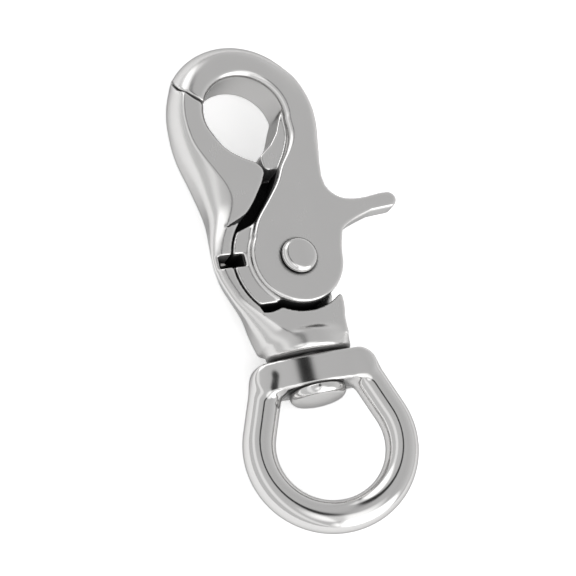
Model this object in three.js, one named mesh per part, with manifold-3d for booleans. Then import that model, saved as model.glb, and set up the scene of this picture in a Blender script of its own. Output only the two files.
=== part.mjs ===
// Trigger snap hook with a round swivel eye, in cast and polished stainless steel.
// It lies on its flat back: +X runs from the eye to the hook, +Y to the fixed jaw's side, +Z out of
// the front face. The pieces are drawn round the trigger pivot, at (0, 0), with z = 0 on the front
// face of the moving jaw, and the whole group is then moved to stand on the centre of its own floor box.
import * as THREE from 'three';
import { mergeVertices } from 'three/addons/utils/BufferGeometryUtils.js';
import Module from 'manifold-3d';

const wasm = await Module();
wasm.setup();

// ---- Driving dimensions, in millimetres and degrees ----

const GAP = 0.3;                   // running clearance between neighbouring pieces
const BODY_DEPTH = 11.8;           // front face of the disc to the flat back
const AXIS_Z = -BODY_DEPTH / 2;    // height of the swivel axis
const BODY_FRONT = -1.2;           // front face of the fixed jaw and of the flange, below the disc
const LAP = -7.0;                  // underside of the moving jaw where it laps over the fixed jaw
const LAP_RADIUS = 17.9;           // reach of that lap from the pivot
const EDGE = 0.5;                  // broken edge of the cast outlines
const SPACING = 0.9;               // length of the flats that the cast outlines are drawn with
const CLEAR = 1;                   // how far a cutting tool runs on past the piece it cuts

const HEAD = { x: 29.4, y: 2.8, radius: 13.2 };        // outer side of the hook head
const MOUTH = { x: 28.3, y: 3.0, radius: 7.2 };        // opening that the hook closes round
const TIP_MOVING = { outer: 63.2, inner: 69, bow: { x: 33.1, y: 12.2 } };
const TIP_FIXED = { outer: 64.8, inner: 71.8, bow: { x: 32.8, y: 12.4 } };
const HEAD_FRONT = -1.0;
const HEAD_BACK_MOVING = -9.4;
const HEAD_BACK_FIXED = -9.8;

const DISC_RADIUS = 8.3;
const FLANGE_RADIUS = 11.3;
const FLANGE_END = 132.5;
const LEVER_DEPTH = 4.0;
const LEVER_TIP = { x: 9.1, y: -19.4, radius: 1.45 };
const PLATE_RADIUS = 8.8;          // back plate of the fixed jaw, behind the disc
const SEAT_RADIUS = 9.5;           // hollow of the base that the disc turns in
const NOTCH = { x: 0.85, width: 2.3, inner: 9.2, outer: 13.0 };

const PIVOT = { radius: 2.5, head: 3.3, headTop: 1.7, rim: 0.9, tail: 3.6, tailDepth: 1.5 };
const SPRING = { radius: 4.4, wire: 0.45, low: -8.6, high: -5.4, turns: 2.9, start: 100 };
const SPRING_POCKET = { radius: 5.6, moving: -4.6, fixed: -9.6 };
const SPRING_GROOVE = 1.6;

const COLLAR = { top: -12.2, bottom: -16.3, radius: 7.65 };
const STEM = { radius: 2.5, top: -10.6, head: 4.95, headDepth: 2.4, chamfer: 0.8 };
const BAR = { top: -17.1, height: 5.2, depth: 8.2, half: 9.8, shoulder: 2.0, edge: 1.0 };
const RING = { x: -32.5, radius: 12.1, rod: 2.95, lean: 20 };
const EYE_TURN = -12;              // the eye lies over to one side, as it does on a table

// ---- Small helpers ----

const rad = THREE.MathUtils.degToRad;
const polar = (radius, degrees, x = 0, y = 0) =>
  new THREE.Vector2(x + radius * Math.cos(rad(degrees)), y + radius * Math.sin(rad(degrees)));
const points = (list) => list.map(([x, y]) => new THREE.Vector2(x, y));

function solid(geometry) {
  const bare = geometry.index ? geometry.clone() : geometry;
  bare.deleteAttribute('normal');
  bare.deleteAttribute('uv');
  const closed = mergeVertices(bare, 1e-4);
  const mesh = new wasm.Mesh({
    numProp: 3,
    vertProperties: new Float32Array(closed.attributes.position.array),
    triVerts: new Uint32Array(closed.index.array),
  });
  return new wasm.Manifold(mesh);
}

function geometryOf(manifold) {
  const mesh = manifold.getMesh();
  const geometry = new THREE.BufferGeometry();
  geometry.setAttribute('position', new THREE.BufferAttribute(mesh.vertProperties, mesh.numProp));
  geometry.setIndex(new THREE.BufferAttribute(mesh.triVerts, 1));
  return geometry;
}

// An outline in the plan, from one height up to another, with its edges broken by `edge`.
function slab(outline, low, high, edge = 0) {
  const ring = outline.getSpacedPoints(Math.round(outline.getLength() / SPACING));
  ring.pop();
  const shape = new THREE.Shape(ring);
  const settings = {
    depth: high - low - 2 * edge,
    bevelEnabled: edge > 0,
    bevelThickness: edge,
    bevelSize: edge,
    bevelOffset: -edge,
    bevelSegments: 1,
  };
  return solid(new THREE.ExtrudeGeometry(shape, settings).translate(0, 0, low + edge));
}

// An outline in the side view, x along and z up, cut right through the width.
function sideCut(list) {
  const width = 60;
  const shape = new THREE.Shape(points(list));
  const geometry = new THREE.ExtrudeGeometry(shape, { depth: width, bevelEnabled: false });
  return solid(geometry.rotateX(Math.PI / 2).translate(0, width / 2, 0));
}

function block(x0, x1, y0, y1, z0, z1) {
  const geometry = new THREE.BoxGeometry(x1 - x0, y1 - y0, z1 - z0);
  return solid(geometry.translate((x0 + x1) / 2, (y0 + y1) / 2, (z0 + z1) / 2));
}

// A round post on the pivot axis.
function post(radius, low, high) {
  const geometry = new THREE.CylinderGeometry(radius, radius, high - low, 48).rotateX(Math.PI / 2);
  return solid(geometry.translate(0, 0, (low + high) / 2));
}

// A profile of [radius, height] pairs turned about the pivot axis.
function turned(profile) {
  return solid(new THREE.LatheGeometry(points(profile), 40).rotateX(Math.PI / 2));
}

// A profile of [radius, x] pairs turned about the swivel axis, `flat` times as deep as it is wide.
function turnedAlong(profile, flat = 1) {
  const geometry = new THREE.LatheGeometry(points(profile), 40).rotateZ(-Math.PI / 2);
  return solid(geometry.scale(1, 1, flat));
}

// ---- Outlines ----

function movingJawOutline() {
  const { outer, inner, bow } = TIP_MOVING;
  const tip = polar(HEAD.radius, outer, HEAD.x, HEAD.y);
  const shape = new THREE.Shape();
  shape.absarc(HEAD.x, HEAD.y, HEAD.radius, rad(outer), rad(-50), true);
  shape.splineThru(points([[35.4, -8.8], [32.4, -9.7], [28.6, -10.1], [24.6, -9.9], [21, -9.2], [17.5, -8.4],
    [14.8, -8], [12.9, -8.2], [11.4, -9.1], [10.2, -11], [9.9, -14], [10.5, -18]]));
  shape.absarc(LEVER_TIP.x, LEVER_TIP.y, LEVER_TIP.radius, rad(5), rad(-175), true);
  const root = polar(DISC_RADIUS, -95);
  shape.splineThru(points([[7.2, -15.6], [6.2, -12.9], [5.3, -10.9], [4.3, -9.6], [2.6, -8.95],
    [root.x, root.y]]));
  shape.absarc(0, 0, DISC_RADIUS, rad(-95), rad(57), true);
  const throat = polar(MOUTH.radius, -112, MOUTH.x, MOUTH.y);
  shape.splineThru(points([[7.6, 5.7], [11.4, 2.7], [14.4, 0.5], [17.3, -0.9], [20.5, -2.9],
    [throat.x, throat.y]]));
  shape.absarc(MOUTH.x, MOUTH.y, MOUTH.radius, rad(-112), rad(inner), false);
  shape.quadraticCurveTo(bow.x, bow.y, tip.x, tip.y);
  return shape;
}

function fixedJawOutline() {
  const { outer, inner, bow } = TIP_FIXED;
  const tip = polar(HEAD.radius, outer, HEAD.x, HEAD.y);
  const shape = new THREE.Shape();
  shape.moveTo(tip.x, tip.y);
  shape.splineThru(points([[31.5, 15.5], [27.6, 15.9], [23, 15.4], [16.9, 13.5], [10.6, 12.6], [5.4, 13.6],
    [1.5, 14.1], [-1.6, 13.8], [-5, 12.6], [-8, 11.2], [-11, 9.7], [-14.2, 8.1]]));
  shape.lineTo(-14.4, 6.6);
  shape.lineTo(-14.4, -6);
  shape.lineTo(-11.4, -6.5);
  shape.lineTo(-7.1, -7.1);
  const corner = polar(PLATE_RADIUS, -125);
  shape.lineTo(corner.x, corner.y);
  shape.absarc(0, 0, PLATE_RADIUS, rad(-125), rad(-35), false);
  shape.lineTo(17, -1.7);
  shape.lineTo(17.8, -0.3);
  const throat = polar(MOUTH.radius, 100, MOUTH.x, MOUTH.y);
  shape.splineThru(points([[18.3, 1.4], [18.9, 3.6], [20.3, 6.6], [23, 9.1], [throat.x, throat.y]]));
  shape.absarc(MOUTH.x, MOUTH.y, MOUTH.radius, rad(100), rad(inner), true);
  shape.quadraticCurveTo(bow.x, bow.y, tip.x, tip.y);
  return shape;
}

// Room in the fixed jaw for the disc, the flange and the moving arm, with the slot beside the arm.
function lapRoomOutline() {
  const flangeRoom = FLANGE_RADIUS + GAP + 0.05;
  const shape = new THREE.Shape();
  shape.absarc(0, 0, flangeRoom, rad(44), rad(135), false);
  const shoulder = polar(SEAT_RADIUS, 150);
  shape.lineTo(-9, 6.5);
  shape.lineTo(shoulder.x, shoulder.y);
  shape.absarc(0, 0, SEAT_RADIUS, rad(150), rad(221), false);
  shape.lineTo(-8, -14);
  shape.lineTo(17.6, -14);
  shape.lineTo(17.6, -0.5);
  shape.splineThru(points([[17.1, 0.8], [16.3, 2.1], [13.2, 4], [10.6, 5.9]]));
  return shape;
}

function flangeOutline() {
  const shape = new THREE.Shape();
  shape.moveTo(2, 2);
  shape.lineTo(9.4, 4);
  shape.lineTo(8.6, 6.2);
  shape.absarc(0, 0, FLANGE_RADIUS, rad(54.5), rad(FLANGE_END), false);
  shape.lineTo(0, 0);
  return shape;
}

// ---- Pieces ----

function fixedJaw() {
  const { top, bottom, radius } = COLLAR;
  const bead = turnedAlong([[0, bottom], [radius - 0.9, bottom], [radius - 0.2, bottom + 0.3],
    [radius, bottom + 1.2], [radius - 0.2, top - 1], [radius - 1.3, top], [0, top]], BODY_DEPTH / 2 / radius);
  const boreRadius = STEM.radius + GAP;
  const boreEnd = STEM.top + GAP;
  const bore = turnedAlong([[0, bottom - CLEAR], [boreRadius, bottom - CLEAR], [boreRadius, boreEnd],
    [0, boreEnd]]);
  const half = NOTCH.width / 2;
  const groove = SPRING_GROOVE / 2;
  const tail = PIVOT.tail + GAP;
  const sinkTop = PIVOT.tailDepth - BODY_DEPTH;
  const sink = turned([[0, -BODY_DEPTH - CLEAR], [tail, -BODY_DEPTH - CLEAR], [tail, -BODY_DEPTH],
    [PIVOT.radius + GAP, sinkTop], [0, sinkTop]]);
  const under = sideCut([[15, -14], [15, -BODY_DEPTH], [19, -11.5], [24, -10.6], [29, HEAD_BACK_FIXED],
    [50, HEAD_BACK_FIXED], [50, -14]]);
  return slab(fixedJawOutline(), -BODY_DEPTH, BODY_FRONT, EDGE)
    .add(bead.translate([0, 0, AXIS_Z]))
    .subtract(slab(lapRoomOutline(), LAP - GAP, CLEAR))
    .subtract(post(SPRING_POCKET.radius, SPRING_POCKET.fixed, CLEAR))
    .subtract(block(NOTCH.x - groove, NOTCH.x + groove, 4, SEAT_RADIUS + 1, SPRING_POCKET.fixed, CLEAR))
    .subtract(block(NOTCH.x - half, NOTCH.x + half, SEAT_RADIUS, NOTCH.outer, SPRING_POCKET.fixed, CLEAR))
    .subtract(post(PIVOT.radius + GAP, -BODY_DEPTH - CLEAR, CLEAR))
    .subtract(sink)
    .subtract(bore.translate([0, 0, AXIS_Z]))
    .subtract(under);
}

function movingJaw() {
  const half = NOTCH.width / 2;
  const groove = SPRING_GROOVE / 2;
  const above = sideCut([[16, 0], [22, -0.3], [28, -0.8], [34, HEAD_FRONT], [50, HEAD_FRONT], [50, 4],
    [16, 4]]);
  const below = HEAD_BACK_MOVING - CLEAR;
  return slab(movingJawOutline(), HEAD_BACK_MOVING, 0, EDGE)
    .subtract(post(LAP_RADIUS, below, LAP))
    .subtract(block(-6, 14, -26, -9.2, below, -LEVER_DEPTH))
    .add(slab(flangeOutline(), LAP, BODY_FRONT))
    .subtract(post(SPRING_POCKET.radius, below, SPRING_POCKET.moving))
    .subtract(block(NOTCH.x - groove, NOTCH.x + groove, 4, NOTCH.inner + 0.4, below, SPRING.high + 0.8))
    .subtract(block(NOTCH.x - half, NOTCH.x + half, NOTCH.inner, NOTCH.outer, below, CLEAR))
    .subtract(post(PIVOT.radius + GAP, below, CLEAR))
    .subtract(above);
}

// The front head stands on the moving jaw's face, with a rounded rim. The tail is flush with the back.
function pivotRivet() {
  const { radius, head, headTop, rim, tail, tailDepth } = PIVOT;
  return turned([[0, -BODY_DEPTH], [tail, -BODY_DEPTH], [radius, tailDepth - BODY_DEPTH], [radius, GAP],
    [head, GAP], [head, headTop - rim], [head - 0.3 * rim, headTop - 0.3 * rim],
    [head - rim, headTop], [0, headTop]]);
}

// The wire comes down the fixed jaw's notch, in to the coil, round the rivet, and out along the flange.
function triggerSpring() {
  const { radius, wire, low, high, turns, start } = SPRING;
  const wallLeg = NOTCH.outer - 0.9;
  const path = [[NOTCH.x, wallLeg, -2.8], [NOTCH.x, wallLeg, -5.4], [NOTCH.x, wallLeg, low + 0.8],
    [NOTCH.x, wallLeg - 0.8, low], [NOTCH.x, 9, low], [NOTCH.x, 6.6, low], [NOTCH.x - 0.3, 5.2, low]];
  const steps = 44;
  for (let step = 0; step <= steps; step += 1) {
    const angle = rad(start + step / steps * turns * 360 - 6);
    path.push([radius * Math.cos(angle), radius * Math.sin(angle), low + (high - low) * step / steps]);
  }
  path.push([1.3, 4.4, high], [NOTCH.x + 0.1, 5.2, high], [NOTCH.x, 6.6, high],
    [NOTCH.x, NOTCH.inner + 0.9, high]);
  const curve = new THREE.CatmullRomCurve3(path.map((point) => new THREE.Vector3(...point)));
  const section = new THREE.Shape().absarc(0, 0, wire, 0, 2 * Math.PI, false);
  const settings = { steps: 110, curveSegments: 4, bevelEnabled: false, extrudePath: curve };
  return solid(new THREE.ExtrudeGeometry(section, settings));
}

function swivelRivet() {
  const { radius, top, head, headDepth, chamfer } = STEM;
  const seat = BAR.top - BAR.height - GAP;
  const foot = seat - headDepth;
  return turnedAlong([[0, foot], [head - chamfer, foot], [head, foot + chamfer], [head, seat],
    [radius, seat], [radius, top], [0, top]]).translate([0, 0, AXIS_Z]);
}

// The ring's limbs lean in, straight, from the round part to the ends of the flat bar.
function swivelEye() {
  const { top, height, depth, half, shoulder, edge } = BAR;
  const limbStart = 90 - RING.lean;
  const middle = top - height / 2;
  const round = [];
  for (let bearing = limbStart; bearing <= 360 - limbStart; bearing += 10) {
    round.push(polar(RING.radius, bearing, RING.x, 0));
  }
  const limbEnd = round[0].y - (middle - round[0].x) * Math.tan(rad(RING.lean));
  const path = [new THREE.Vector2(middle, limbEnd), ...round, new THREE.Vector2(middle, -limbEnd)];
  const route = new THREE.CatmullRomCurve3(path.map((spot) => new THREE.Vector3(spot.x, spot.y, 0)));
  const section = new THREE.Shape().absarc(0, 0, RING.rod, 0, 2 * Math.PI, false);
  const limbs = new THREE.ExtrudeGeometry(section,
    { steps: 44, curveSegments: 8, bevelEnabled: false, extrudePath: route });
  const side = height / 2 - shoulder;
  const plan = new THREE.Shape(points([[-half, -height / 2], [half, -height / 2], [half, side],
    [half - shoulder, height / 2], [shoulder - half, height / 2], [-half, side]]));
  const bar = new THREE.ExtrudeGeometry(plan, {
    depth: depth - 2 * edge, bevelThickness: edge, bevelSize: edge, bevelOffset: -edge, bevelSegments: 2,
  });
  bar.translate(0, 0, edge - depth / 2).rotateZ(-Math.PI / 2).translate(middle, 0, 0);
  const bore = STEM.radius + GAP;
  const low = top - height - CLEAR;
  const hole = turnedAlong([[0, low], [bore, low], [bore, top + CLEAR], [0, top + CLEAR]]);
  return solid(limbs).add(solid(bar)).subtract(hole)
    .rotate([EYE_TURN, 0, 0])
    .translate([0, 0, AXIS_Z]);
}

// ---- Assembly ----

const polished = { color: 0xbdbbb8, roughness: 0.12, metalness: 1 };
const wireFinish = { color: 0x9a9894, roughness: 0.3, metalness: 1 };

function piece(name, manifold, finish) {
  const mesh = new THREE.Mesh(geometryOf(manifold), new THREE.MeshStandardMaterial(finish));
  mesh.name = name;
  return mesh;
}

const assembly = new THREE.Group();
assembly.add(
  piece('fixed_jaw', fixedJaw(), polished),
  piece('moving_jaw', movingJaw(), polished),
  piece('pivot_rivet', pivotRivet(), polished),
  piece('trigger_spring', triggerSpring(), wireFinish),
  piece('swivel_eye', swivelEye(), polished),
  piece('swivel_rivet', swivelRivet(), polished),
);

const box = new THREE.Box3().setFromObject(assembly, true);
const middle = box.getCenter(new THREE.Vector3());
assembly.position.set(-middle.x, -middle.y, -box.min.z);

const group = new THREE.Group();
group.add(assembly);

export default group;
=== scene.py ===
"""A trigger snap hook with a round swivel eye, in cast and polished stainless steel, on a pale floor.

The castings are drawn as solid fields: a signed distance for every point of a block of space, built up
from outlines in the plan, rounded edges and smooth joins, and then skinned with one mesh each. Lengths
are millimetres round the trigger pivot, with z = 0 on the trigger's front face, until a mesh is made.
"""
import math
from types import SimpleNamespace

import bpy
import numpy as np
from mathutils import Matrix, Vector


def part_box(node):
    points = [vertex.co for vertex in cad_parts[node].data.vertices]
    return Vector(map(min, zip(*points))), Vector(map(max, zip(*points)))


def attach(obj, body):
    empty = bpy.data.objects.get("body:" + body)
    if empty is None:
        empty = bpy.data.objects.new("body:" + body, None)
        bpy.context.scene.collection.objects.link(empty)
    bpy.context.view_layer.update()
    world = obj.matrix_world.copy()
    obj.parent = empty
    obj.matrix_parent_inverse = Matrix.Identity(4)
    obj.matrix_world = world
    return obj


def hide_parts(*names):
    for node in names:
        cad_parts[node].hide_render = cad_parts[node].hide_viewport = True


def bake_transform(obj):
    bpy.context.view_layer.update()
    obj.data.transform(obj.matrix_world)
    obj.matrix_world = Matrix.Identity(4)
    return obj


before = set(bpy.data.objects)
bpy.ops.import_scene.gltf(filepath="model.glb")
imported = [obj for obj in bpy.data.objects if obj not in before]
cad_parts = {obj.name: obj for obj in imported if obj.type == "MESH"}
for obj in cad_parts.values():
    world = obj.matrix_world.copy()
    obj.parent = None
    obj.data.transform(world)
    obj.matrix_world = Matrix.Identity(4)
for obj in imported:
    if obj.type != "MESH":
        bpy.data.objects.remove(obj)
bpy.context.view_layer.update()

# ---- Places taken from the frame ----

MM = 0.001
pivot_low, pivot_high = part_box("pivot_rivet")
ORIGIN = Vector(((pivot_low.x + pivot_high.x) / 2, (pivot_low.y + pivot_high.y) / 2,
                 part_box("moving_jaw")[1].z))


def to_frame(point):
    """A point in millimetres round the pivot, as a point of the frame in metres."""
    return ORIGIN + Vector(point) * MM


def from_frame(point):
    """A point of the frame in metres, in millimetres round the pivot."""
    return (Vector(point) - ORIGIN) / MM


BACK = from_frame(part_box("fixed_jaw")[0]).z          # the flat back, on the floor
AXIS = BACK / 2                                      # height of the swivel axis

# ---- Driving dimensions of the castings, in millimetres and degrees ----

CELL = 0.3                    # spacing of the field's samples
SPACING = 0.2                 # spacing of the points on an outline

HEAD = (29.4, 2.8)            # centre of the hook head's outer side
HEAD_OUTER = 13.2
MOUTH = (28.3, 3.0)           # centre of the opening that the hook closes round
MOUTH_RADIUS = 7.2
FRONT = -1.2                  # front face of the fixed jaw and of the flange
LAP = -7.0                    # underside of the trigger where it laps over the fixed jaw
LAP_RADIUS = 17.9             # how far from the pivot it laps
TRIGGER_BACK = -9.4           # underside of the trigger beyond that
GAP = 0.3                     # clearance between pieces that move on each other
DISC = 8.3                    # radius of the trigger's round part
FLANGE = 11.3                 # reach of the trigger's thin rim, and of its room in the fixed jaw
FLANGE_ROOM = 11.6
SEAT = 9.5                    # radius of the hollow in the base that the disc turns in
PLATE = 8.8                   # radius of the back plate on the lever's side
NOTCH = (0.85, 1.15)          # middle and half width of the slot that the spring's wire shows in
NOTCH_END = 13.9
LEDGE = -1.9                  # height of the ledge in the mouth's inner wall
LEVER_TIP = (9.1, -19.4)
LEVER_RADIUS = 1.45
LEVER_DEPTH = 4.0

FLANK_REACH = 11.7            # half axes of the ellipse that shapes the outer flank of the hook
FLANK_RISE = 5.4
NOSE_RISE = 2.6               # how much longer its upright half axis is at the nose
FLANK_WIDEST = -5.5           # height at which that flank is widest
RIM_REACH = 3.6               # half axes beside the flange, where the flank is widest further up
RIM_RISE = 1.6
RIM_LIFT = 3.0
RIM_SPREAD = 2.2              # how much wider the jaw is there, above an undercut
RIM_UNDERCUT = 0.4

POCKET = 5.6                  # radius, top and floor of the spring's room round the pivot
POCKET_TOP = -4.6
POCKET_FLOOR = -9.6
STEM = 2.5                    # radius of both rivets' stems
PIVOT_HEAD = 3.25
PIVOT_HEAD_TOP = 1.75
TAIL = 3.6                    # radius of the pivot rivet's tail, and of the countersink round it
COUNTERSINK = 3.9
COUNTERSINK_DEPTH = 1.2
BUTTON = 4.95                 # radius and thickness of the swivel rivet's head
BUTTON_DEPTH = 2.4

COLLAR_TOP = -12.6            # ends of the collar along the swivel axis, and its half width
COLLAR_BOTTOM = -16.45
COLLAR_HALF = 7.65
BORE_END = -10.4              # ends of the blind hole in the collar and of the stem in it
STEM_END = -10.6
BAR_TOP = -16.95              # the eye's flat bar: its sides, half length, corners and half thickness
BAR_BOTTOM = -22.3
BAR_HALF = 10.6
BAR_CORNER = 2.8
BAR_DEPTH = 4.1
RING_X = -32.7                # the eye's round ring: its middle, radius and rod
RING_RADIUS = 12.2
ROD = 2.85
RING_LEAN = 20                # lean of the ring's straight sides, in degrees
EYE_TURN = math.radians(-12)  # how far the eye is turned from the hook's plane

WIRE = 0.45                   # radius of the spring's wire
COIL_RADIUS = 4.4
COIL_LOW = -8.6
COIL_HIGH = -5.4
COIL_TURNS = 2.9


# ---- Fields ----

class Block:
    """Evenly spaced sample points that fill a box."""

    def __init__(self, low, high, cell=CELL):
        self.low = np.array(low, float)
        self.cell = cell
        counts = np.ceil((np.array(high) - self.low) / cell).astype(int) + 1
        axes = [start + cell * np.arange(count) for start, count in zip(low, counts)]
        self.x, self.y, self.z = np.meshgrid(*axes, indexing="ij", sparse=True)

    def sample(self, values, points):
        """Values of a field at any points, straight-line between the samples round each."""
        place = (points - self.low) / self.cell
        top = np.array(values.shape) - 2
        base = np.clip(np.floor(place).astype(int), 0, top)
        part = np.clip(place - base, 0, 1)
        total = np.zeros(len(points))
        for dx in (0, 1):
            for dy in (0, 1):
                for dz in (0, 1):
                    step = np.array([dx, dy, dz])
                    weight = np.prod(np.where(step, part, 1 - part), axis=1)
                    total += weight * values[tuple((base + step).T)]
        return total


def ease(low, high, value):
    """0 up to low, 1 from high on, and a smooth step between."""
    part = np.clip((value - low) / (high - low), 0, 1)
    return part * part * (3 - 2 * part)


def both(a, b, radius=0.0):
    """What two solids share, with the edge between their faces rounded to a radius."""
    corner = np.hypot(np.maximum(a + radius, 0), np.maximum(b + radius, 0))
    return np.minimum(np.maximum(a, b), -radius) + corner


def cut(a, b, radius=0.0):
    """Solid a with solid b cut out of it, and the new edge rounded."""
    return both(a, -b, radius)


def join(a, b, blend):
    """Two solids run together with a fillet."""
    part = np.clip(0.5 + 0.5 * (b - a) / blend, 0, 1)
    return b * (1 - part) + a * part - blend * part * (1 - part)


def crease(a, b, blend):
    """What two solids share, with a softened crease between faces that meet at a low angle."""
    return -join(-a, -b, blend)


def arc(centre, radius, start, end):
    """Points on an arc, from one angle to another in degrees."""
    count = max(3, round(abs(math.radians(end - start)) * radius / SPACING))
    angle = np.radians(np.linspace(start, end, count))
    return np.stack([centre[0] + radius * np.cos(angle), centre[1] + radius * np.sin(angle)], 1)


def curve(*points):
    """A smooth curve through a few points, in the plan or in space."""
    knots = np.array(points, float)
    ends = np.vstack([2 * knots[0] - knots[1], knots, 2 * knots[-1] - knots[-2]])
    pieces = []
    for p0, p1, p2, p3 in zip(ends, ends[1:], ends[2:], ends[3:]):
        count = max(2, round(np.linalg.norm(p2 - p1) / SPACING))
        t = (np.arange(count) / count)[:, None]
        slope1, slope2 = (p2 - p0) / 2, (p3 - p1) / 2
        pieces.append((2 * t**3 - 3 * t**2 + 1) * p1 + (t**3 - 2 * t**2 + t) * slope1
                      + (3 * t**2 - 2 * t**3) * p2 + (t**3 - t**2) * slope2)
    return np.vstack(pieces + [knots[-1:]])


def outline(*parts):
    """A closed outline in the plan, from curves, arcs and single points."""
    return np.vstack([np.atleast_2d(np.array(part, float)) for part in parts])


def plan(shape, block):
    """Signed distance in the plan from each sample to a closed outline, negative inside."""
    x, y = np.broadcast_arrays(block.x, block.y)
    nearest = np.full(x.shape, np.inf)
    within = np.zeros(x.shape, bool)
    for (ax, ay), (bx, by) in zip(shape, np.roll(shape, -1, axis=0)):
        ex, ey = bx - ax, by - ay
        square = ex * ex + ey * ey
        if square < 1e-12:
            continue
        part = np.clip(((x - ax) * ex + (y - ay) * ey) / square, 0, 1)
        nearest = np.minimum(nearest, (x - ax - part * ex) ** 2 + (y - ay - part * ey) ** 2)
        if ey:
            within ^= ((ay > y) != (by > y)) & (x < ax + (y - ay) * ex / ey)
    return np.where(within, -1, 1) * np.sqrt(nearest)


def disc(block, radius, centre=(0, 0)):
    """Signed distance in the plan to a circle."""
    return np.hypot(block.x - centre[0], block.y - centre[1]) - radius


def strip(value, low, high):
    """Signed distance to the room between two parallel planes."""
    return np.maximum(low - value, value - high)


def flank(inside, z, rise, width=FLANK_REACH, widest=FLANK_WIDEST):
    """The convex flank of the hook: an elliptical fall from the front to the widest line, then upright."""
    across = np.maximum(width - inside, 0) / width
    up = np.maximum(z - widest, 0) / rise
    reach = np.maximum(np.hypot(across, up), 0.05)
    slope = np.maximum(np.hypot(across / width, up / rise), 0.05 / width)
    return (reach - 1) * reach / slope


def past_tip(block, wrap):
    """Distance past the seam where the jaws meet, towards the fixed jaw, for bearings up to `wrap`.

    The seam runs out from the mouth, slants across the tip, and steps back on the outside lower down.
    """
    dx, dy = block.x - MOUTH[0], block.y - MOUTH[1]
    radius = np.hypot(dx, dy)
    seam = 70.5 - 1.85 * np.clip(radius - 7.5, 0, 5) - 12 * ease(1.6, 6.5, -block.z) * ease(10, 13.5, radius)
    bearing = wrap - (wrap - np.degrees(np.arctan2(dy, dx))) % 360
    return radius * np.radians(bearing - seam)


def notch(block, inner, outer):
    """The slot across the seam that the spring's wire shows in."""
    return np.maximum(strip(block.x, NOTCH[0] - NOTCH[1], NOTCH[0] + NOTCH[1]), strip(block.y, inner, outer))


# ---- The fixed jaw ----

def flank_line():
    """The outer side of the fixed jaw at its widest, closed far off on the other side."""
    side = curve((46, 4), (42, 7.5), (38.2, 12.6), (35.2, 14.3), (31.5, 15.5), (27.6, 15.9), (23, 15.4),
                 (16.9, 13.5), (10.6, 12.2), (4.6, 12.5), (1.5, 12.6), (-1.6, 12.1), (-5, 10.8),
                 (-8, 9.6), (-11, 8.9), (-14, 8.2), (-18, 7.4))
    return outline(side, (-40, 2), (-40, -60), (70, -60), (70, -10))


def jaw_walls():
    """The upright walls of the fixed jaw: the hook's mouth, the back plate's edge and the base."""
    throat = curve((23.9, 8.95), (22.2, 8.0), (20.9, 6.7), (19.8, 5.1), (19.0, 3.5), (18.5, 2.4))
    return outline((70, 30), (70, 3), arc(MOUTH, MOUTH_RADIUS, 0, 113), throat, (17.8, -0.3), (17, -1.7),
                   arc((0, 0), PLATE, -35, -120),
                   curve((-5.6, -7.6), (-7.1, -7.0), (-9.2, -6.9), (-11.4, -6.5)), (-14.2, -6.4), (-14.2, 30))


def lap_room():
    """Room for the disc, the flange and the trigger's arm, with the open slot beside the arm."""
    return outline(arc((0, 0), FLANGE_ROOM, 44, 133.5), curve((-9.0, 8.1), (-9.05, 6.6), (-8.7, 5.2)),
                   arc((0, 0), SEAT, 152, 221), (-7.7, -14), (24, -14), (24, 1), (19.0, 3.2), (17.4, 2.1),
                   curve((16.6, 2.0), (14.7, 2.9), (13.2, 3.9), (11.6, 5.0), (10.2, 6.1), (9.3, 7.0)))


def fixed_jaw_field(block):
    """The arm up to the tip, the wall beside the flange, the back plate, the base and the collar."""
    x, y, z = block.x, block.y, block.z
    back = BACK + 2.0 * ease(15, 30, x)
    rim = (1 - ease(0, 17, x)) * ease(-15.5, -5.5, x)
    inside = RIM_SPREAD * rim - plan(flank_line(), block)
    widest = FLANK_WIDEST + RIM_LIFT * rim
    rise = (FLANK_RISE + NOSE_RISE * ease(11, 25, x)) * (1 - rim) + RIM_RISE * rim
    outer = flank(inside, z, rise, FLANK_REACH + (RIM_REACH - FLANK_REACH) * rim, widest)
    outer = outer + RIM_UNDERCUT * rim * np.maximum(widest - z, 0)
    body = crease(outer, z - FRONT, 0.12)
    body = both(body, back - z, 4.0)
    body = both(body, plan(jaw_walls(), block), 0.5 + 0.8 * ease(18, 28, x))
    body = both(body, GAP / 2 - past_tip(block, 300), 0.2)
    body = cut(body, np.maximum(plan(lap_room(), block), LAP - GAP - z), 0.12)
    wide = np.hypot(y / COLLAR_HALF, (z - AXIS) / AXIS)
    collar = both(both((wide - 1) * 6.6, x - COLLAR_TOP, 1.5), COLLAR_BOTTOM - x, 1.1)
    body = join(body, collar, 1.2)
    body = np.maximum(body, BACK - z)
    lean = RIM_UNDERCUT * np.maximum(FLANK_WIDEST + RIM_LIFT - z, 0)
    slot = np.maximum(notch(block, SEAT, NOTCH_END), y + lean - NOTCH_END)
    body = cut(body, np.maximum(slot, POCKET_FLOOR - z), 0.15)
    nick = outline((8.9, 7.4), (8.5, 8.1), (7.1, 11.1), (8.0, 8.3), (8.4, 7.2))
    body = cut(body, np.maximum(plan(nick, block) - 0.12, FRONT - 0.9 - z), 0.1)
    body = cut(body, np.maximum(disc(block, POCKET), POCKET_FLOOR - z), 0.2)
    body = cut(body, disc(block, STEM + GAP), 0.15)
    body = cut(body, np.maximum(disc(block, COUNTERSINK), z - BACK - COUNTERSINK_DEPTH), 0.15)
    bore = np.hypot(y, z - AXIS) - STEM - GAP
    return cut(body, np.maximum(bore, x - BORE_END), 0.3)


# ---- The trigger ----

def hook_side():
    """Points along the outer side of the head and neck, from beyond the tip."""
    return np.vstack([arc(HEAD, HEAD_OUTER, 75, -40),
                      curve((37.9, -7.2), (35.4, -8.8), (32.4, -9.7), (28.6, -10.1), (24.6, -9.9), (21, -9.2),
                            (17.5, -8.4), (14.8, -8.0))])


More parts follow.
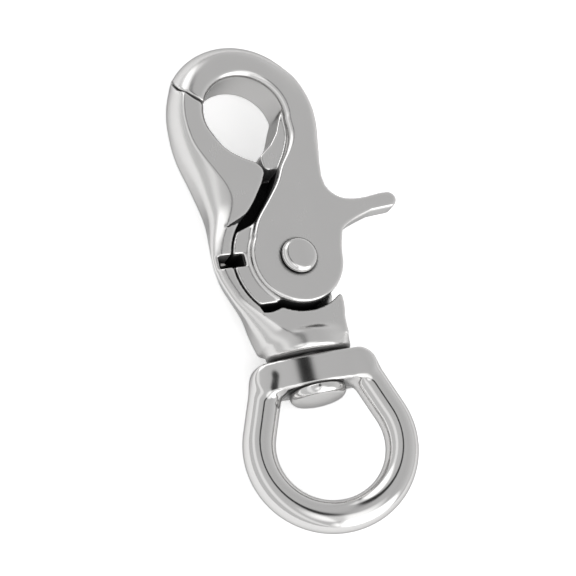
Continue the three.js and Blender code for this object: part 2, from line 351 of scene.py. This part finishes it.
# Points along the edge from the mouth down the open slot to the disc.
THROAT = ((26.6, -4.0), (23.4, -3.9), (20.3, -2.7), (17.3, -0.9), (14.4, 0.5), (11.4, 2.7), (7.6, 5.7),
          (4.4, 7.2))


def trigger_outline():
    """The trigger in the plan: head, neck, lever and the round part on the pivot."""
    return outline(hook_side(), curve((12.9, -8.2), (11.4, -9.1), (10.2, -11), (9.9, -14), (10.5, -18)),
                   arc(LEVER_TIP, LEVER_RADIUS, 5, -175),
                   curve((7.2, -15.6), (6.2, -12.9), (5.3, -10.9), (4.3, -9.6), (2.6, -8.95), (0.9, -8.5)),
                   arc((0, 0), DISC, -97, -302), curve(*THROAT[::-1])[2:],
                   arc(MOUTH, MOUTH_RADIUS, -103, 75))


def mouth_side():
    """The hook's mouth and the edge of the slot, closed far off on the outer side."""
    return outline(arc(MOUTH, MOUTH_RADIUS, 90, -103), curve(*THROAT)[1:], (-40, 7.2), (-40, -60), (70, -60),
                   (70, 40), (28, 40))


def head_side():
    """The outer side of the head and neck alone, closed far off on the inner side."""
    return outline(hook_side(), (5, -8), (-20, -8), (-20, 26), (22, 26))


def throat_fill(block):
    """The inner wall of the mouth where it runs down to the fixed jaw's nose, below a ledge."""
    shape = outline((17.3, -4), (17.25, 1.0), (17.7, 1.6), (18.8, 1.8), (20.0, 1.8), (20.8, 0.9),
                    (22, -0.6), (24.2, -2.2), (27, -3.4), (29.5, -4.6), (24, -8), (18, -7))
    return np.maximum(np.maximum(plan(shape, block), block.z - LEDGE), TRIGGER_BACK - block.z)


def trigger_field(block):
    """The disc, the lever, the neck, the rounded head down to the tip, and the flange behind the disc."""
    x, y, z = block.x, block.y, block.z
    front = -1.0 * ease(14, 36, x)
    angle = np.degrees(np.arctan2(y - MOUTH[1], x - MOUTH[0]))
    edge = (0.5 + 0.9 * ease(15, 23, x)) * (1 - 0.5 * ease(4, 7, -z))
    plain = both(both(plan(trigger_outline(), block), z - front, edge), TRIGGER_BACK - z, 0.6)
    crown = crease(flank(-plan(head_side(), block), z, FLANK_RISE + 1.2), z - front, 1.1)
    crown = both(crown, TRIGGER_BACK - z, 2.7)
    crown = both(crown, plan(mouth_side(), block), edge)
    head = ease(-95, -30, angle) * ease(15, 25, x)
    body = plain * (1 - head) + crown * head
    body = both(body, past_tip(block, 130) + GAP / 2, 0.2)
    body = join(body, throat_fill(block), 0.1)
    flange = outline((2, 2), (5.5, 3), (7.4, 5.9), (5.95, 9.6), arc((0, 0), FLANGE, 58.5, 132),
                     (-7.5, 5.2), (-4, 2))
    flange = both(plan(flange, block), strip(z, LAP, FRONT), 0.12)
    body = cut(body, np.maximum(disc(block, LAP_RADIUS), z - LAP), 0.3)
    under_lever = np.maximum(y + 9.2, np.maximum(x - 14, z + LEVER_DEPTH))
    body = cut(body, under_lever, 0.9)
    body = join(body, flange, 0.9)
    body = cut(body, notch(block, 9.2, 13.0), 0.15)
    body = cut(body, np.maximum(disc(block, POCKET), z - POCKET_TOP), 0.2)
    return cut(body, disc(block, STEM + GAP), 0.15)


# ---- The swivel eye, drawn flat on its own axis ----

def eye_field(block):
    """The ring's rod, round the back and straight to the bar, and the flat bar with the stem's hole."""
    x, y, z = block.x, block.y, block.z
    lean = math.radians(90 - RING_LEAN)
    middle = (BAR_TOP + BAR_BOTTOM) / 2
    reach = middle - RING_X - RING_RADIUS * math.cos(lean)
    shoulder = RING_RADIUS * math.sin(lean) - reach * math.tan(math.radians(RING_LEAN))
    half = outline(arc((RING_X, 0), RING_RADIUS, 180, 90 - RING_LEAN), (middle, shoulder))
    nearest = np.full(np.broadcast(x, y).shape, np.inf)
    for (ax, ay), (bx, by) in zip(half, half[1:]):
        ex, ey = bx - ax, by - ay
        part = np.clip(((x - ax) * ex + (abs(y) - ay) * ey) / (ex * ex + ey * ey), 0, 1)
        nearest = np.minimum(nearest, (x - ax - part * ex) ** 2 + (abs(y) - ay - part * ey) ** 2)
    rod = np.sqrt(nearest + z * z) - ROD
    corner = both(strip(x, BAR_BOTTOM, BAR_TOP), abs(y) - BAR_HALF, BAR_CORNER)
    bar = both(corner, abs(z) - (BAR_DEPTH - y * y / 70), 0.45)
    body = join(rod, bar, 1.6)
    return cut(body, np.maximum(np.hypot(y, z) - STEM - GAP, RING_X - x), 0.35)


# ---- Skins ----

def skin(field, block):
    """The field's zero surface: one vertex in each cell that it crosses, and a quad round each edge."""
    inside = field < 0
    size = np.array(field.shape) - 1
    total = np.zeros((*size, 3))
    count = np.zeros(size)
    for axis in range(3):
        for corner in ((0, 0), (0, 1), (1, 0), (1, 1)):
            start = np.insert(corner, axis, 0)
            end = np.insert(corner, axis, 1)
            near = field[tuple(slice(o, o + n) for o, n in zip(start, size))]
            far = field[tuple(slice(o, o + n) for o, n in zip(end, size))]
            crossed = (near < 0) != (far < 0)
            part = np.where(crossed, near / np.where(crossed, near - far, 1), 0)
            for k in range(3):
                total[..., k] += crossed * (part if k == axis else start[k])
            count += crossed
    cells = np.argwhere(count > 0)
    number = np.full(size, -1)
    number[tuple(cells.T)] = np.arange(len(cells))
    points = cells + total[tuple(cells.T)] / count[tuple(cells.T)][:, None]
    quads = []
    step = np.eye(3, dtype=int)
    for axis in range(3):
        u, v = (axis + 1) % 3, (axis + 2) % 3
        low = inside[tuple(slice(0, -1) if k == axis else slice(1, -1) for k in range(3))]
        high = inside[tuple(slice(1, None) if k == axis else slice(1, -1) for k in range(3))]
        for order, change in ((1, low & ~high), (-1, high & ~low)):
            edge = np.argwhere(change) + step[u] + step[v]
            turn = [(0, 0), (-1, 0), (-1, -1), (0, -1)][::order]
            quads.append(np.stack([number[tuple((edge + du * step[u] + dv * step[v]).T)]
                                   for du, dv in turn], 1))
    return block.low + block.cell * points, np.vstack(quads)


class Casting:
    """A field, its skin and the smooth normals of its surface, in millimetres."""

    def __init__(self, low, high, field, cell=CELL, turn=0.0, lift=0.0):
        self.block = Block(low, high, cell)
        self.field = field(self.block)
        self.slopes = np.gradient(self.field, cell)
        self.turn = turn
        self.lift = lift
        self.points, self.quads = skin(self.field, self.block)
        for _ in range(3):
            slope = self.slope(self.points)
            gap = self.block.sample(self.field, self.points)
            self.points -= slope * (gap / np.maximum((slope**2).sum(1), 0.2))[:, None]
        slope = self.slope(self.points)
        self.normals = slope / np.linalg.norm(slope, axis=1)[:, None]
        bend = sum(np.gradient(part, cell, axis=axis) for axis, part in enumerate(self.slopes))
        self.bend = self.block.sample(bend, self.points)

    def slope(self, points):
        """Gradient of the field at any points."""
        return np.stack([self.block.sample(part, points) for part in self.slopes], 1)

    def place(self, vectors, lift=None):
        """Turns vectors about the swivel axis, and lifts points to it."""
        c, s = math.cos(self.turn), math.sin(self.turn)
        x, y, z = vectors.T
        return np.stack([x, y * c - z * s, y * s + z * c + (self.lift if lift is None else lift)], 1)

    def distance(self, points):
        """Distance from placed points to this casting, large outside its block."""
        c, s = math.cos(self.turn), math.sin(self.turn)
        x, y, z = points.T
        z = z - self.lift
        own = np.stack([x, y * c + z * s, z * c - y * s], 1)
        top = self.block.low + self.block.cell * (np.array(self.field.shape) - 1)
        over = np.maximum(np.maximum(self.block.low - own, own - top), 0)
        return self.block.sample(self.field, own) + np.linalg.norm(over, axis=1)


def soften(values, quads, rounds=3):
    """Values at the points, each evened out with those of its neighbours."""
    ends = np.vstack([quads[:, [k, (k + 1) % 4]] for k in range(4)])
    number = np.bincount(ends[:, 0], minlength=len(values))
    for _ in range(rounds):
        total = np.bincount(ends[:, 0], values[ends[:, 1]], minlength=len(values))
        values = (values + total / np.maximum(number, 1)) / 2
    return values


def painted_slot_shade(points):
    """Painted shade in the slot: 1 for points down inside the open slot and the room for the disc, and 0
    elsewhere.
    """
    spots = SimpleNamespace(x=points[:, 0], y=points[:, 1])
    room = 1 - ease(0.02, 0.2, plan(lap_room(), spots))
    z = points[:, 2]
    near = np.hypot(points[:, 0], points[:, 1]) < LAP_RADIUS - 0.7
    slot_side = points[:, 1] > -1.6
    return room * near * slot_side * ease(1.5, 2.5, -z) * (z > LAP - 2 * GAP)


def painted_crevice_shade(piece, castings):
    """Painted shade: how shut in each point of a piece is, from 0 in the open to 1 in a deep slot or gap,
    found as occlusion along its normal.

    Out towards the tip and the eye it is less, because the joints bring those faces into the open.
    """
    points = piece.place(piece.points)
    normals = piece.place(piece.normals, 0)
    shut = np.zeros(len(points))
    reaches = (0.6, 1.2, 1.8, 2.4, 3.0)
    for reach in reaches:
        out = points + normals * reach
        free = np.min([other.distance(out) for other in castings], axis=0)
        shut += np.clip(1 - free / reach, 0, 1) / len(reaches)
    shut = ease(0.40, 0.66, soften(shut, piece.quads))
    shut *= 1 - 0.45 * ease(10, 16, np.hypot(points[:, 0], points[:, 1]))
    # painted shade also fills the open slot and the disc's room
    return np.maximum(shut, painted_slot_shade(points)) if piece.lift == 0 else shut


# ---- Rivets and spring ----

def pivot_field(block):
    """The trigger's rivet: a low domed head in front, and a tail spread into the back."""
    across = disc(block, 0)
    z = block.z
    head = both(across - PIVOT_HEAD, strip(z, -0.1, PIVOT_HEAD_TOP - across**2 / 30), 0.95)
    stem = both(across - STEM, strip(z, BACK, 0), 0.1)
    tail = both(across - TAIL + np.maximum(z - BACK, 0) * 0.75, strip(z, BACK, BACK + 1.5), 0.12)
    return np.minimum(np.minimum(head, stem), tail)


def button_field(block):
    """The swivel's rivet: a round button under the eye's bar, on the stem that carries the eye."""
    x = block.x
    across = np.hypot(block.y, block.z)
    seat = BAR_BOTTOM - GAP
    foot = seat - BUTTON_DEPTH
    crowned = foot + across**2 / 24
    head = both(both(across - BUTTON, crowned - x, 0.9), x - seat, 0.2)
    stem = both(across - STEM, strip(x, seat - 0.5, STEM_END), 0.2)
    return np.minimum(head, stem)


def spring_leg():
    """The end of the wire that stays with the fixed jaw: along its notch, down, and in to the coil."""
    place = NOTCH[0]
    return curve((place, 13.3, -3.0), (place, 12.6, -3.1), (place, 12.1, -3.9), (place, 12.1, -6.0),
                  (place, 11.8, -7.6), (place, 11.0, -8.4), (place, 10.0, COIL_LOW), (place, 7.5, COIL_LOW),
                  (0.6, 5.4, COIL_LOW), (0.1, 4.45, COIL_LOW), (-0.5, 4.37, COIL_LOW))


def spring_coil():
    """The rest of the wire: round the rivet, and out along the flange."""
    place = NOTCH[0]
    count = 240
    angle = np.radians(94 + np.linspace(0, COIL_TURNS * 360, count))
    height = np.linspace(COIL_LOW, COIL_HIGH, count)
    coil = np.stack([COIL_RADIUS * np.cos(angle), COIL_RADIUS * np.sin(angle), height], 1)
    arm = curve(coil[-1], (1.3, 4.5, COIL_HIGH), (place + 0.1, 5.4, COIL_HIGH), (place, 6.6, COIL_HIGH),
                 (place, 10.1, COIL_HIGH))
    return np.vstack([coil, arm[1:]])


def tube(path, radius, sides=16):
    """A round wire along a path, with rounded-off ends, as points and quads."""
    along = np.gradient(path, axis=0)
    along /= np.linalg.norm(along, axis=1)[:, None]
    side = np.cross(along, (0.31, 0.2, 0.93))
    side /= np.linalg.norm(side, axis=1)[:, None]
    up = np.cross(along, side)
    turn = np.radians(np.arange(sides) * 360 / sides)[:, None, None]
    rings = path + radius * (np.cos(turn) * side + np.sin(turn) * up)
    points = rings.transpose(1, 0, 2).reshape(-1, 3)
    quads = []
    for ring in range(len(path) - 1):
        for k in range(sides):
            here, there = ring * sides, (ring + 1) * sides
            after = (k + 1) % sides
            quads.append((here + k, here + after, there + after, there + k))
    ends = [tuple(range(sides))[::-1], tuple(range(len(points) - sides, len(points)))]
    return points, quads + ends


# ---- Meshes ----

def build(name, points, faces, body, slot, nodes, layers=None, normals=None):
    """A mesh of the object: placed in the frame, riding on its body, in place of its CAD nodes."""
    mesh = bpy.data.meshes.new(name)
    mesh.from_pydata([to_frame(point) for point in points], [], [tuple(face) for face in faces])
    mesh.polygons.foreach_set("use_smooth", [True] * len(mesh.polygons))
    for layer, values in (layers or {}).items():
        attribute = mesh.attributes.new(layer, "FLOAT", "POINT")
        attribute.data.foreach_set("value", np.asarray(values, np.float32))
    if normals is not None:
        mesh.normals_split_custom_set_from_vertices([tuple(normal) for normal in normals])
    mesh.update()
    piece = bpy.data.objects.new(name, mesh)
    bpy.context.scene.collection.objects.link(piece)
    if isinstance(body, str):
        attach(piece, body)
    else:
        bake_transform(piece)
    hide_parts(*nodes)
    return piece


# Each casting: the corners of its block, its field, and where they differ its cell, turn and lift.
castings = {
    "fixed_jaw": Casting((-17.4, -10, -12.7), (37.5, 17.7, 1.0), fixed_jaw_field),
    "trigger": Casting((-12.6, -22.2, -10.4), (42.6, 15.4, 1.0), trigger_field),
    "swivel_eye": Casting((-48.6, -17, -5.2), (-16, 17, 5.2), eye_field, CELL, EYE_TURN, AXIS),
    "pivot_rivet": Casting((-4.2, -4.2, -12.4), (4.2, 4.2, 2.4), pivot_field, 0.16),
    "swivel_rivet": Casting((-25.8, -5.6, -5.6), (-10, 5.6, 5.6), button_field, 0.2, 0, AXIS),
}
# The body that each rides on, its material slot and the CAD node that it replaces.
RIDES = {
    "fixed_jaw": ("hook_body", "jaw_steel", "fixed_jaw"),
    "trigger": ("trigger", "jaw_steel", "moving_jaw"),
    "swivel_eye": ("eye", "eye_steel", "swivel_eye"),
    "pivot_rivet": ("hook_body", "rivet_steel", "pivot_rivet"),
    "swivel_rivet": ("hook_body", "rivet_steel", "swivel_rivet"),
}
# How dark the painted shade makes each piece where it is shut in.
PAINTED_SHADE_STRENGTH = {"fixed_jaw": 1.0, "trigger": 1.0, "swivel_eye": 1.0, "pivot_rivet": 0.6, "swivel_rivet": 1.0}
pieces = {}
for name, casting in castings.items():
    body, slot, node = RIDES[name]
    # painted shade in the shut-in places, and the worn edges
    layers = {"painted_crevice_shade": PAINTED_SHADE_STRENGTH[name] * painted_crevice_shade(casting, castings.values()),
              "ridge": ease(0.4, 2.0, soften(casting.bend, casting.quads, 1))}
    pieces[name] = build(name + "_steel", casting.place(casting.points), casting.quads, body, slot, [node],
                         layers, casting.place(casting.normals, 0))
pieces["spring_leg"] = build("spring_leg", *tube(spring_leg(), WIRE), "hook_body", "spring_wire",
                             ["trigger_spring"])
twist = ("hook_body", "trigger", to_frame((0, 0, COIL_LOW)), to_frame((0, 0, COIL_HIGH)))
pieces["spring_coil"] = build("spring_coil", *tube(spring_coil(), WIRE), twist, "spring_wire",
                              ["trigger_spring"])

# ---- Materials ----

class Shader:
    """A material's node tree, with short ways to add nodes and join them."""

    def __init__(self, name):
        self.material = bpy.data.materials.new(name)
        self.material.use_nodes = True
        self.tree = self.material.node_tree
        self.surface = self.tree.nodes["Principled BSDF"]

    def node(self, kind, inputs=None, **settings):
        node = self.tree.nodes.new(kind)
        for key, value in settings.items():
            setattr(node, key, value)
        for key, value in (inputs or {}).items():
            self.put(node.inputs[key], value)
        return node

    def put(self, socket, value):
        if isinstance(value, bpy.types.NodeSocket):
            self.tree.links.new(value, socket)
        else:
            socket.default_value = value

    def mix(self, amount, low, high):
        """A number that runs from low to high as the amount goes from 0 to 1."""
        node = self.node("ShaderNodeMapRange", {"Value": amount, "To Min": low, "To Max": high})
        return node.outputs["Result"]

    def blend(self, amount, a, b):
        """A colour between a and b."""
        node = self.node("ShaderNodeMix", data_type="RGBA")
        for socket, value in ((node.inputs["Factor"], amount), (node.inputs[6], a), (node.inputs[7], b)):
            self.put(socket, value)
        return node.outputs[2]

    def noise(self, scale, detail=3.0, stretch=(1, 1, 1)):
        place = self.node("ShaderNodeTexCoord").outputs["Object"]
        spread = self.node("ShaderNodeMapping", {"Vector": place, "Scale": stretch})
        return self.node("ShaderNodeTexNoise", {"Vector": spread.outputs[0], "Scale": scale,
                                                "Detail": detail}).outputs["Fac"]

    def layer(self, name):
        return self.node("ShaderNodeAttribute", attribute_name=name).outputs["Fac"]


def polished_steel(name, colour, rough, edge_rough, grain):
    """Cast steel, ground and buffed: faint lines, cloudy gloss and brighter edges, with painted shade, dull
    and near black, in the gaps and slots.
    """
    shader = Shader(name)
    cloud = shader.noise(220)
    lines = shader.noise(900, 4, (1, 14, 14))
    pits = shader.noise(2600, 2)
    shut = shader.layer("painted_crevice_shade")
    worn = shader.layer("ridge")
    tint = shader.blend(cloud, [part * 0.965 for part in colour] + [1], [*colour, 1])
    tint = shader.blend(worn, tint, [min(1, part * 1.06) for part in colour] + [1])
    # painted shade: the colour runs to near black where the piece is shut in
    tint = shader.blend(shut, tint, (0.012, 0.012, 0.012, 1))
    gloss = shader.mix(cloud, rough * 0.75, rough * 1.25)
    gloss = shader.node("ShaderNodeMath", {0: gloss, 1: shader.mix(lines, 0.9, 1.15)},
                        operation="MULTIPLY").outputs[0]
    gloss = shader.mix(worn, gloss, edge_rough)
    gloss = shader.node("ShaderNodeMath", {0: gloss, 1: shader.mix(shut, 0, 0.5)},
                        operation="ADD").outputs[0]
    relief = shader.node("ShaderNodeBump", {"Height": lines, "Strength": grain, "Distance": 0.00002})
    relief = shader.node("ShaderNodeBump", {"Height": pits, "Strength": grain * 0.2, "Distance": 0.00001,
                                            "Normal": relief.outputs[0]})
    shader.put(shader.surface.inputs["Base Color"], tint)
    shader.surface.inputs["Specular Tint"].default_value = EDGE_TINT
    # where the painted shade lies the steel is less metallic, so it reads dull and dark
    shader.put(shader.surface.inputs["Metallic"], shader.mix(shut, 1, 0.4))
    shader.put(shader.surface.inputs["Roughness"], gloss)
    shader.put(shader.surface.inputs["Normal"], relief.outputs[0])
    return shader.material


STEEL = (0.57, 0.565, 0.56)
EDGE_TINT = (0.42, 0.42, 0.42, 1)     # keeps the steel from turning white where it is seen at a slant
finishes = {
    "fixed_jaw": polished_steel("jaw_polish", STEEL, 0.24, 0.13, 0.03),
    "swivel_eye": polished_steel("eye_polish", STEEL, 0.10, 0.10, 0.03),
    "pivot_rivet": polished_steel("rivet_polish", STEEL, 0.16, 0.12, 0.04),
    "spring_leg": polished_steel("spring_finish", (0.42, 0.41, 0.40), 0.25, 0.25, 0.15),
}
finishes["spring_coil"] = finishes["spring_leg"]
finishes["trigger"] = finishes["fixed_jaw"]
finishes["swivel_rivet"] = finishes["pivot_rivet"]
for name, piece in pieces.items():
    piece.data.materials.append(finishes[name])

# ---- Floor ----

def floor():
    """A plain pale sheet, far wider than the view, a hair below the flat back. It glows a little."""
    reach, height = 1.5, -0.00005
    mesh = bpy.data.meshes.new("floor")
    corners = [(-reach, -reach, height), (reach, -reach, height), (reach, reach, height),
               (-reach, reach, height)]
    mesh.from_pydata(corners, [], [(0, 1, 2, 3)])
    sheet = bpy.data.objects.new("floor", mesh)
    bpy.context.scene.collection.objects.link(sheet)
    shader = Shader("pale_sheet")
    fibre = shader.noise(40, 2)
    shade = shader.blend(fibre, (0.90, 0.90, 0.90, 1), (0.93, 0.93, 0.93, 1))
    shader.put(shader.surface.inputs["Base Color"], shade)
    shader.surface.inputs["Roughness"].default_value = 0.9
    shader.surface.inputs["Specular IOR Level"].default_value = 0.1
    shader.put(shader.surface.inputs["Emission Color"], (1, 1, 1, 1))
    shader.surface.inputs["Emission Strength"].default_value = 0.38
    mesh.materials.append(shader.material)


floor()

# ---- Light: a pale tent with a dark slit near its top, a bright band, and three soft lamps ----

# The tent's brightness by lean, the angle in degrees from overhead towards the fixed jaw's side.
TENT = ((-100, 0.9), (-70, 0.95), (-45, 0.80), (-25, 0.74), (2, 0.78), (4, 0.03), (11, 0.03), (13, 0.80),
        (40, 0.85), (47, 1.3), (58, 1.3), (64, 0.85), (100, 0.85))
# Each lamp: its direction, the angles from it to the edge and the heart of its glow, and its strength.
# The first shows on edges that face the eye's end, the second on the head beside the tip, and the
# third on the foot of the ring.
LAMPS = (((-0.85, -0.36, 0.38), 33, 24, 1.7), ((0.84, 0.30, 0.45), 22, 12, 1.3),
         ((-0.48, 0.06, 0.87), 27, 14, 1.0))


def studio():
    """A world that is only light: the tent and the lamps' glow, each by direction."""
    world = bpy.data.worlds.new("studio")
    bpy.context.scene.world = world
    world.use_nodes = True
    tree = world.node_tree
    back = tree.nodes["Background"]

    def node(kind, inputs=None, **settings):
        made = tree.nodes.new(kind)
        for key, value in settings.items():
            setattr(made, key, value)
        for key, value in (inputs or {}).items():
            if isinstance(value, bpy.types.NodeSocket):
                tree.links.new(value, made.inputs[key])
            else:
                made.inputs[key].default_value = value
        return made

    def ramp(value, low, high, stops):
        spread = node("ShaderNodeMapRange", {"Value": value, "From Min": low, "From Max": high})
        made = node("ShaderNodeValToRGB", {"Fac": spread.outputs[0]})
        elements = made.color_ramp.elements
        spots = [(stop - low) / (high - low) for stop, _ in stops]
        elements[0].position = spots[0]
        elements[1].position = spots[-1]
        for spot in spots[1:-1]:
            elements.new(spot)
        for element, (_, shade) in zip(elements, stops):
            element.color = (shade, shade, shade, 1)
        return made.outputs["Color"]

    place = node("ShaderNodeTexCoord").outputs["Generated"]
    axes = node("ShaderNodeSeparateXYZ", {"Vector": place}).outputs
    lean = node("ShaderNodeMath", {0: axes["Y"], 1: axes["Z"]}, operation="ARCTAN2").outputs[0]
    lean = node("ShaderNodeMath", {0: lean, 1: 180 / math.pi}, operation="MULTIPLY").outputs[0]
    bright = ramp(lean, -180, 180, TENT)
    for towards, edge, heart, strength in LAMPS:
        way = node("ShaderNodeVectorMath", {0: place, 1: towards}, operation="DOT_PRODUCT").outputs["Value"]
        dark_from, bright_to = math.cos(math.radians(edge)), math.cos(math.radians(heart))
        glow = ramp(way, -1, 1, ((dark_from, 0.0), (bright_to, strength)))
        bright = node("ShaderNodeMix", {"Factor": 1.0, 6: bright, 7: glow}, data_type="RGBA",
                      blend_type="ADD").outputs[2]
    tree.links.new(bright, back.inputs["Color"])
    back.inputs["Strength"].default_value = 1.0


studio()
bpy.context.scene.view_settings.view_transform = "Standard"

# ---- Camera ----

TILT = math.radians(28)         # angle between the line of sight and straight down
BEARING = math.radians(128)     # the side that it looks from, turned from +X
ROLL = math.radians(13.5)       # how far the hook's own axis leans to the left in the picture
DISTANCE = 400                  # from the watched point, in millimetres
WATCHED = (-15, 0, -5.5)
AIM = (-3.6, 1.0, -5.5)         # the middle of the view
VIEW_WIDTH = 98.8               # how much the view takes in from side to side at that distance


def look():
    """The camera, on the line of sight from the watched point, and turned to the aim."""
    sight = Vector((math.sin(TILT) * math.cos(BEARING), math.sin(TILT) * math.sin(BEARING), math.cos(TILT)))
    place = to_frame(WATCHED) + sight * DISTANCE * MM
    ahead = (to_frame(AIM) - place).normalized()
    axis = Vector((1, 0, 0))
    axis = (axis - ahead * axis.dot(ahead)).normalized()
    beside = ahead.cross(axis)
    up = axis * math.cos(ROLL) + beside * math.sin(ROLL)
    right = ahead.cross(up)
    camera = bpy.data.cameras.new("camera")
    camera.sensor_width = 36
    camera.lens = camera.sensor_width * DISTANCE / VIEW_WIDTH
    camera.clip_start = 0.01
    seat = bpy.data.objects.new("camera", camera)
    seat.matrix_world = Matrix((right, up, -ahead)).transposed().to_4x4()
    seat.location = place
    bpy.context.scene.collection.objects.link(seat)
    bpy.context.scene.camera = seat


look()
